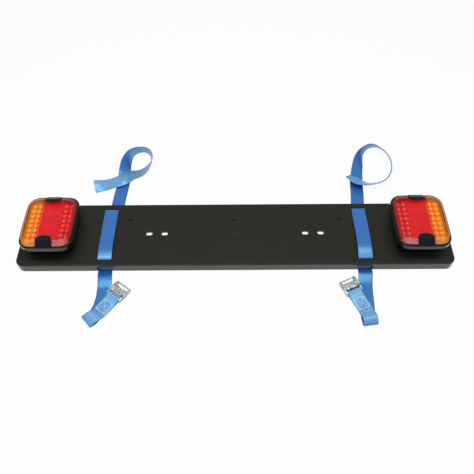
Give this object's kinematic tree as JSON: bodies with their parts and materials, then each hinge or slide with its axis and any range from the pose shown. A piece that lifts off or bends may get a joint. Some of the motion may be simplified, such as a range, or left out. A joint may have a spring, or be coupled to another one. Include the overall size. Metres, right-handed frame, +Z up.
{
  "type": "trailer lighting board",
  "caption": "Black trailer lighting board with red and amber LED lamps at its ends, slots for a number plate and blue cam-buckle straps threaded through it.",
  "frame": {"origin": "centre of the board's top face, midway between the number plate slots", "axes": "+X along the board's length, +Y to the rear edge, +Z up out of the top face"},
  "size_m": [0.8, 0.424, 0.0651],
  "materials": {
    "board_plastic": "fine-grained black moulded plastic",
    "plug_rubber": "soft black rubber",
    "housing_plastic": "smooth black moulded plastic",
    "amber_lens": "clear amber lens plastic",
    "red_lens": "clear red lens plastic",
    "gasket_rubber": "matt black rubber",
    "circuit_board": "white lacquered circuit board",
    "amber_led": "yellow LED encapsulant",
    "red_led": "pale LED encapsulant",
    "reflector_plastic": "bright white moulded reflector",
    "retro_red": "red prismatic reflector",
    "cell_wrap": "blue shrink wrap on a battery cell",
    "socket_metal": "plated sheet metal",
    "clip_plastic": "smooth black moulded plastic",
    "screw_steel": "zinc plated",
    "webbing": "woven blue polypropylene webbing",
    "buckle_steel": "zinc plated pressed steel",
    "pin_steel": "zinc plated",
    "spring_steel": "bright spring wire"
  },
  "bodies": {
    "board_assembly": {"board": "board_plastic", "centre_plug": "plug_rubber", "left_strap": "webbing", "left_housing": "housing_plastic", "left_amber_lens": "amber_lens", "left_red_lens": "red_lens", "left_lens_gasket": "gasket_rubber", "left_led_board": "circuit_board", "left_amber_leds": "amber_led", "left_red_leds": "red_led", "left_led_reflector": "reflector_plastic", "left_retro_reflector": "retro_red", "left_battery_cell": "cell_wrap", "left_charge_socket": "socket_metal", "left_charge_bung": "plug_rubber", "left_rear_clip": "clip_plastic", "left_front_clip": "clip_plastic", "left_mounting_screws": "screw_steel", "left_buckle_frame": "buckle_steel", "left_cam_pin": "pin_steel", "left_cam_spring": "spring_steel", "right_strap": "webbing", "right_housing": "housing_plastic", "right_amber_lens": "amber_lens", "right_red_lens": "red_lens", "right_lens_gasket": "gasket_rubber", "right_led_board": "circuit_board", "right_amber_leds": "amber_led", "right_red_leds": "red_led", "right_led_reflector": "reflector_plastic", "right_retro_reflector": "retro_red", "right_battery_cell": "cell_wrap", "right_charge_socket": "socket_metal", "right_charge_bung": "plug_rubber", "right_rear_clip": "clip_plastic", "right_front_clip": "clip_plastic", "right_mounting_screws": "screw_steel", "right_buckle_frame": "buckle_steel", "right_cam_pin": "pin_steel", "right_cam_spring": "spring_steel"},
    "left_cam": {"left_cam_lever": "buckle_steel"},
    "right_cam": {"right_cam_lever": "buckle_steel"}
  },
  "joints": [
    {"name": "left_cam_hinge", "type": "hinge", "parent": "board_assembly", "child": "left_cam", "pos_m": [-0.20457, -0.11532, -0.0093], "axis": [0.7986, -0.6018, 0], "range_deg": [0, 18], "stiffness_Nm_per_rad": 0.04, "springref_deg": -20.05, "deforming": ["left_cam_spring"]},
    {"name": "right_cam_hinge", "type": "hinge", "parent": "board_assembly", "child": "right_cam", "pos_m": [0.20508, -0.10681, -0.0093], "axis": [0.9063, 0.4226, 0], "range_deg": [0, 18], "stiffness_Nm_per_rad": 0.04, "springref_deg": -20.05, "deforming": ["right_cam_spring"]}
  ]
}
